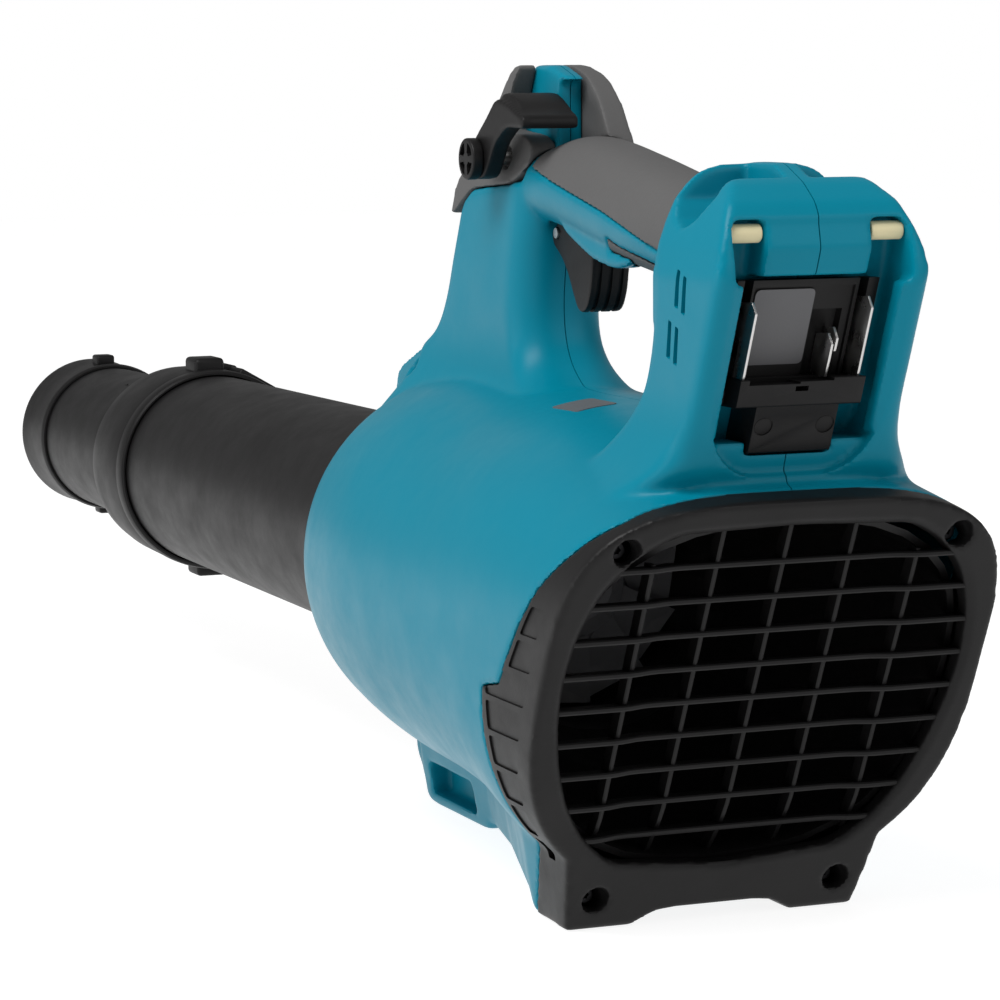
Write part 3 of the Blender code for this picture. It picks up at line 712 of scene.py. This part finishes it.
def intake_opening():
    """The mouth: a rounded square pinched in at its corners by the screw bosses."""
    outline = softened(mirrored(MOUTH), 6)
    middle = 90.0
    rings = []
    for depth, grow in ((-16.0, 1.06), (-0.4, 1.035), (2.2, 1.0), (45.0, 1.0)):
        ring = [(y * grow, middle + (z - middle) * grow) for y, z in outline]
        rings.append([(FACE_FOOT_X - LEAN * z + depth, y, z) for y, z in ring])
    return loft(rings)


def add_intake_cover():
    """The barred cover over the intake, with the tool's rear feet."""
    body = fused([barrel(), *skirt()], 1.3, 6)
    keep(body, cover_region(0.0))
    cut(body, intake_opening())
    rows = [(x, *set_in(row, COVER_WALL)) for x, *row in BARREL[:3]]
    rows[0] = (rows[0][0] + 9, *rows[0][1:])
    cut(body, loft([section(*row) for row in rows]))
    skin = keep(barrel(-2.0), box(-80, 120, -130, 130, 20, 160))
    cut(skin, barrel(0.75))
    arch_cut = ((-36, -3), (-33, 0), (-29, 2.5), (-24, 5), (-16, 6), (16, 6), (24, 5), (29, 2.5),
                (33, 0), (36, -3))
    cut(body, prism_x(arch_cut, 30, 100))
    for start, inward in screw_places():
        cut(body, rod(start - inward * 6, inward, ((0, 5.2), (9, 5.2), (11, 4.2), (20, 4.2))))
    cast(body, 1.0, 2)
    for pad in side_pads():
        cut(body, keep(pad, copy(skin)))
    bpy.data.objects.remove(skin)
    inside = keep(barrel(1.0), cover_region(0.0))
    slats = [bar(GRILLE_TOP - row * PITCH_Z) for row in range(GRILLE_BARS)]
    slats += [upright(number) for number in range(-2, 3)]
    whole = slats[0]
    join(whole, *slats[1:])
    keep(whole, inside)
    join(body, whole)
    finished("barred_cover", body, "black_plastic", "housing", ["intake_cover"])


def add_screws():
    """Recessed cap screws with a six-pointed socket, deep in the cover's holes."""
    for number, (start, inward) in enumerate(screw_places(), 1):
        head = rod(start + inward * 10.5, inward,
                   ((0, 2.9), (0.5, 3.4), (3, 3.4), (3.01, 1.9), (24, 1.9)))
        socket = []
        for point_number in range(12):
            angle = math.pi / 6 * point_number
            radius = 1.75 if point_number % 2 == 0 else 1.3
            socket.append((start.y + radius * math.cos(angle), start.z + radius * math.sin(angle)))
        cut(head, prism_x(socket, start.x + 8, start.x + 12.4))
        finished(f"screw_{number}", head, "black_steel", "housing", [f"cover_screw_{number}"])


# ---- handle fittings -----------------------------------------------------------------------
def below_insert_line(shift):
    """Everything below the line where the soft insert meets the grip's underside."""
    line = ((18, 234), (57, 241.4), (97, 248.5), (104, 251), (108, 246), (108, 225), (18, 215))
    middle_x, middle_z = 62, 226
    outline = [(x + math.copysign(shift, x - middle_x), z + math.copysign(shift, z - middle_z))
               for x, z in line]
    return prism_y(outline, -40, 40)


def add_grip_skins():
    """The rubber over the grip and the soft insert under it."""
    upper = keep(grip(-0.1), above_grip_line(0.0))
    ends = [box(low, high, -40, 40, 200, 320) for low, high in ((-20, 14.4), (178.5, 220))]
    cut(upper, grip(GRIP_SKIN), *ends)
    cast(upper, 0.9, 2)
    finished("grip_skin", upper, "grip_rubber", "housing", ["grip_cover"])
    lower = cut(keep(grip(0.0), below_insert_line(0.0)), grip(GRIP_SKIN))
    cast(lower, 0.8, 2)
    finished("grip_underside", lower, "grip_rubber", "housing", ["grip_insert"])


def add_hood_covers():
    """The left cover is cut away where the lever's thumb tab swings."""
    inner = PLATE_HALF + GAP
    recess = ((200.5, 316), (207, 303), (214, 290), (188, 288), (180, 284), (180, 275.8))
    for name, node, outline, low, high in (
        ("hood_left", "hood_cover_left", HOOD_FRONT + recess + HOOD_FOOT[1:], inner, 20.0),
        ("hood_right", "hood_cover_right", HOOD_FRONT + HOOD_REAR + HOOD_FOOT, -20.0, -inner),
    ):
        lift = [(x, z + (GAP if z < 300 else 0)) for x, z in outline]
        body = prism_y(softened(lift, 5), low, high)
        keep(body, prism_x(mirrored(HOOD_END), 100, 300))
        cut(body, grip(-0.5), rod_y(*LEVER_PIVOT, 4.4, 5, 30))
        cast(body, 0.8, 8)
        finished(name, body, "grip_rubber", "housing", [node])


def add_lever():
    """The speed lever: a crowned thumb tab, an arm outside the hood and a cap on its hub."""
    x, z = LEVER_PIVOT
    arm = ((187, 302), (182, 303), (172, 301), (162, 297.5), (157, 296), (157, 291.4),
           (175, 291.7), (187, 285), (193, 277), (198, 271.5), (206, 270.8), (212.3, 276),
           (212.0, 283), (205, 289), (196, 295))
    tab = ((188, 303), (183, 305.3), (177, 305), (170, 302.5), (162, 298), (156.7, 296),
           (156.7, 291.4), (174, 291.6), (187, 297))
    body = fused([prism_y(softened(arm, 4), 22.6, 30), prism_y(softened(tab, 4), 6.3, 27),
                  rod_y(x, z, 8.2, 24, 30.1)], 0.7, 8)
    cut(body, rod_y(x, z, 3.4, 20, 40))
    finished("speed_lever", body, "black_plastic", "lever", ["cruise_lever"])
    cap = rounded(rod_y(x, z, 8.3, 30.3, 35.0, 64), 0.8)
    for quarter in range(4):
        sector = []
        for radius, start, end in ((6.6, 14, 76), (2.6, 66, 24)):
            for step in range(9):
                angle = math.radians(90 * quarter + start + (end - start) * step / 8)
                sector.append((x + radius * math.cos(angle), z + radius * math.sin(angle)))
        cut(cap, prism_y(sector, 33.4, 40))
    cut(cap, rod_y(x, z, 3.0, 20, 32.6))
    finished("hub_cap", cap, "black_plastic", "lever", ["lever_cap"])


def add_trigger():
    """The trigger, with three grooves down its rear edge."""
    outline = ((181, 250), (178.5, 245), (171, 241), (164.5, 234.5), (159.5, 227),
               (155.5, 221.5), (151.5, 219.5), (146, 221.5), (142, 228), (140, 237),
               (139.4, 246), (139.2, 252), (145, 256.5), (170, 256.5))
    body = prism_y(softened(outline, 4), -8, 8)
    pads = []
    for y in (-4.6, 0, 4.6):
        band = ((155, 214), (148, 214), (140, 222), (136, 232), (135, 246), (140.2, 246),
                (140.9, 237), (143, 228.6), (147, 222.6), (153, 220.6))
        pads.append(prism_y(band, y - 0.9, y + 0.9))
    cast(body, 0.7, 6)
    cut(body, *pads, rod_y(*TRIGGER_PIVOT, 2.5, -20, 20))
    finished("finger_trigger", body, "black_plastic", "trigger", ["trigger"])


# ---- battery mount fittings ----------------------------------------------------------------
def add_terminals():
    """The terminal block with its shelf, tongue, blades and a blank plate."""
    back = SLOT_DEPTH - GAP
    block = prism_y(leaning(198, 241.8, 13.5, back), -27.4, 27.4)
    cut(block, prism_y(leaning(206.5, 239.4, 0, 15.2), -18.6, 20.4))
    for y in (22.9, -21.6):
        cut(block, prism_y(leaning(203, 250, 0, 20.5), y - 1.7, y + 1.7))
    cut(block, prism_y(leaning(206.5, 231, 10, 19.5), -16, -4.5))
    shelf = prism_y(softened(leaning(197.2, 207.2, 2.4, 17), 0.8, 3), -24.2, 24.2)
    cut(shelf, prism_y(leaning(205.2, 212, 0, 12), 1.0, 20.8))
    cut(shelf, prism_y(leaning(206.0, 212, 0, 12), -12.0, 1.0))
    join(block, shelf)
    join(block, prism_y(softened(leaning(180.4, 199, 2.9, back - 0.4), 0.6, 3), -16, 16))
    cut(block, box(-40, 0, -2.5, 2.5, 202.6, 204.4))
    for y in (-12, 12):
        cut(block, rod((mount_x(190, 2.4), y, 190), (-1, 0, -MOUNT_LEAN), ((-1, 3.6), (6, 3.6))))
        join(block, rod((mount_x(190, 3.3), y, 190), (-1, 0, -MOUNT_LEAN), ((-2, 3.2), (0.0, 3.2))))
    finished("terminal_housing", rounded(block, 0.25, 2, 50), "black_plastic", "housing",
             ["terminal_block"])
    for name, node, y, low, high, near in (
        ("blade_left", "terminal_blade_left", 22.9, 204, 234, 3.6),
        ("blade_right", "terminal_blade_right", -21.6, 204, 235, 3.6),
        ("signal_blade_1", "signal_terminal_1", -10.2, 207, 222, 6.0),
        ("signal_blade_2", "signal_terminal_2", -12.8, 216, 224, 8.0),
    ):
        tip = ((mount_x(low, near), low), (mount_x(low, 19), low), (mount_x(high, 19), high),
               (mount_x(high, near + 4), high + 0.6), (mount_x(high - 3, near), high - 3.4))
        blade = rounded(prism_y(tip, y - 0.5, y + 0.5), 0.22, 2, 50)
        finished(name, blade, "steel", "housing", [node])
    plate = prism_x(softened(((-4, 211.5), (19.0, 211.5), (19.0, 238.4), (-4, 238.4)), 2.2),
                    -0.35, 0.35)
    for corner in plate.data.vertices:
        corner.co.x += mount_x(corner.co.z / MM, 15.0) * MM
    finished("blank_plate", plate, "grey_plastic", "housing", ["terminal_plate"])


def add_bumpers():
    """The two cream buffers over the battery."""
    for name, side in (("bumper_left", 1), ("bumper_right", -1)):
        low, high = sorted((side * 21, side * 33.5))
        body = rounded(rod_y(-32, 258.3, 3.3, low, high, 64), 0.7, 4)
        finished("buffer_" + name[7:], body, "cream_rubber", "housing", [name])


# ---- tube ----------------------------------------------------------------------------------
def button(x0, x1, half, inner, outer, angle=0, round_edge=1.3):
    """A raised lug with rounded edges, standing on the tube at an angle round its axis."""
    lump = rounded(box(x0, x1, -half, half, inner, outer), round_edge, 4)
    turn = Matrix.Rotation(math.radians(angle), 4, "X")
    lump.data.transform(Matrix.Translation((0, 0, FAN_Z * MM)) @ turn)
    return lump


def marks(body, radius, rows):
    """Rows of small raised position marks round the top of a tube."""
    for x, angle, length in rows:
        join(body, button(x - length / 2, x + length / 2, 0.5, radius - 0.8, radius + 0.35,
                          angle, 0.15))


def add_pipe():
    """The rear tube, held in the housing by its flange."""
    profile = ((308, 53.5), (317, 53.5), (317, 50.3), (332, 50.2), (420, 49.75), (530, 49.15),
               (640, 48.6), (690, 48.6), (690, 46.2), (640, 46.2), (332, 47.8), (308, 47.8))
    pipe = rounded(turned(profile, TUBE_SIDES), 0.5, 3, 50)
    finished("air_pipe", pipe, "black_plastic", "housing", ["rear_pipe"])


def add_collar():
    """The lock collar with its finger lugs, and the seal inside it."""
    rear, front = COLLAR_REAR, COLLAR_FRONT
    profile = ((rear, 50.2), (rear + 0.6, 51.2), (rear + 2, 51.7), (652, 51.8), (654, 51.2),
               (655.2, 51.2), (657, 51.6), (676, 51.1), (690, 50.8), (front - 4, 49.6),
               (front - 1, 48.8), (front, 47.6), (front, 40.9), (front - 0.4, 40.6), (694, 40.6),
               (694, 49.0), (rear + 0.8, 49.0), (rear, 49.4))
    body = turned(profile, TUBE_SIDES)
    lumps = [button(653, 672, 8, 48, 57.4, 0, 2.4), button(668, 700, 9, 48.2, 54.6, 12, 1.6),
             button(650, 699, 12, 49.1, 53.2, 30, 1.4), button(654, 673, 8, 48, 56.6, 180, 2.2)]
    join(body, *lumps)
    finished("collar_shell", body, "black_plastic", "collar", ["lock_collar"])
    seal = turned(((691, 46.1), (691.4, 46.5), (693.2, 46.5), (693.6, 46.1), (693.6, 40.8),
                   (693.2, 40.4), (691.4, 40.4), (691, 40.8)), TUBE_SIDES)
    finished("seal_ring", seal, "grip_rubber", "collar", ["collar_seal"])


def add_nozzle():
    """The sliding nozzle with its position marks, and the ring on its mouth."""
    wall = 2.2
    tube = turned(((560, 44.9), (560.5, 45.4), (565.5, 45.4), (566, 44.9), (566, 40.0),
                   (700, 40.0), (770, 39.5), (838, NOZZLE_R - 0.6), (842, NOZZLE_R - 0.6),
                   (842, NOZZLE_R - 0.6 - wall), (700, 40.0 - wall), (560, 40.0 - wall)),
                  TUBE_SIDES)
    marks(tube, 39.75, [(726 + 7 * step, angle, 4.0) for step in range(5) for angle in (-8, -23)])
    finished("nozzle_tube", tube, "black_plastic", "nozzle", ["front_nozzle"])
    ring = turned(((835, 39.3), (835, 40.3), (836.5, 41.0), (839, 41.2), (841, 40.7),
                   (842.4, 40.3), (860, 40.7), (875, 41.0), (TIP_X - 2, 41.3), (TIP_X - 0.6, 41.0),
                   (TIP_X, 40.2), (TIP_X, 39.0), (TIP_X - 0.5, 38.5), (844, 36.9), (842.4, 36.9),
                   (842.4, 39.3)), TUBE_SIDES)
    join(ring, button(847, 858, 5.2, 39, 45.4, 0, 1.5), button(847, 858, 5.2, 39, 44.8, 180, 1.5))
    finished("rim_ring", ring, "black_plastic", "nozzle", ["outlet_ring"])


# ---- label ---------------------------------------------------------------------------------
def add_blank_plate():
    """A blank foil label on top of the barrel."""
    outline = softened([(107, 12), (132, 12), (132, 29), (107, 29)], 2)
    plate = loft([[(x, y, z) for x, y in outline] for z in (150, 220)])
    keep(plate, barrel(-0.25))
    cut(plate, barrel(0.2))
    finished("blank_label", plate, "grey_plastic", "housing")


def dress_nodes():
    """Give every CAD node its finish, and soften its edges."""
    for name, thing in frame["nodes"].items():
        thing.data.materials.clear()
        thing.data.materials.append(LOOKS[SLOT_OF[name]])
        bevel = thing.modifiers.new("Edges", "BEVEL")
        bevel.width = 0.4 * MM
        bevel.segments = 2
        bevel.limit_method = "ANGLE"
        bevel.angle_limit = math.radians(40)
        bevel.harden_normals = True


# ---- stage ---------------------------------------------------------------------------------
LENS = 132.4
SENSOR = 36.0
CAMERA_PLACE = (-1165.2, 579.0, 315.06)      # station, side and height
CAMERA_ANGLES = (-22.168, -6.704, 0.366)     # yaw, pitch and roll in degrees
AMBIENT = 0.32                               # how strongly the white room lights the tool
FLOOR_GLOW = 0.88


def add_camera():
    """The operator's rear left quarter, from slightly above."""
    data = bpy.data.cameras.new("camera")
    data.lens = LENS
    data.sensor_width = SENSOR
    camera = bpy.data.objects.new("camera", data)
    bpy.context.scene.collection.objects.link(camera)
    yaw, pitch, roll = (math.radians(a) for a in CAMERA_ANGLES)
    forward = Vector((math.cos(pitch) * math.cos(yaw), math.cos(pitch) * math.sin(yaw),
                      math.sin(pitch)))
    right = forward.cross(Vector((0, 0, 1))).normalized()
    down = forward.cross(right)
    right, down = (math.cos(roll) * right + math.sin(roll) * down,
                   math.cos(roll) * down - math.sin(roll) * right)
    turn = Matrix((right, -down, -forward)).transposed().to_4x4()
    place = point(*CAMERA_PLACE)
    camera.matrix_world = Matrix.Translation(place) @ turn
    bpy.context.scene.camera = camera


def add_light(name, place, target, size, power):
    data = bpy.data.lights.new(name, "AREA")
    data.shape = "RECTANGLE"
    data.size, data.size_y = size
    data.energy = power
    lamp = bpy.data.objects.new(name, data)
    bpy.context.scene.collection.objects.link(lamp)
    lamp.location = place
    lamp.rotation_euler = (Vector(target) - Vector(place)).to_track_quat("-Z", "Y").to_euler()


def add_stage():
    """A white floor in a white room, with soft lights above, at the side and behind."""
    bm = bmesh.new()
    bmesh.ops.create_grid(bm, x_segments=2, y_segments=2, size=6.0)
    mesh = bpy.data.meshes.new("floor")
    bm.to_mesh(mesh)
    bm.free()
    floor = bpy.data.objects.new("floor", mesh)
    floor.location.z = -0.0002
    bpy.context.scene.collection.objects.link(floor)
    floor.data.materials.append(paper("floor_paper", FLOOR, FLOOR_GLOW))
    world = bpy.data.worlds.new("studio")
    world.use_nodes = True
    tree = world.node_tree
    background = tree.nodes["Background"]
    background.inputs["Color"].default_value = (1.0, 1.0, 1.0, 1.0)
    ray = tree.nodes.new("ShaderNodeLightPath")
    level = tree.nodes.new("ShaderNodeMapRange")
    level.inputs["To Min"].default_value = AMBIENT
    level.inputs["To Max"].default_value = 1.0
    tree.links.new(ray.outputs["Is Camera Ray"], level.inputs["Value"])
    tree.links.new(level.outputs["Result"], background.inputs["Strength"])
    bpy.context.scene.world = world
    middle = (0.0, 0.0, 0.12)
    add_light("key_light", (-0.6, 0.9, 1.6), middle, (1.2, 0.6), 30.0)
    add_light("side_light", (0.2, 1.8, 0.5), middle, (1.8, 0.5), 7.0)
    add_light("rear_light", (-1.8, -0.8, 0.9), middle, (1.0, 1.0), 5.0)


add_housing()
add_intake_cover()
add_screws()
add_grip_skins()
add_hood_covers()
add_lever()
add_trigger()
add_terminals()
add_bumpers()
add_pipe()
add_collar()
add_nozzle()
add_blank_plate()
dress_nodes()
add_camera()
add_stage()
bpy.context.scene.view_settings.view_transform = "Standard"
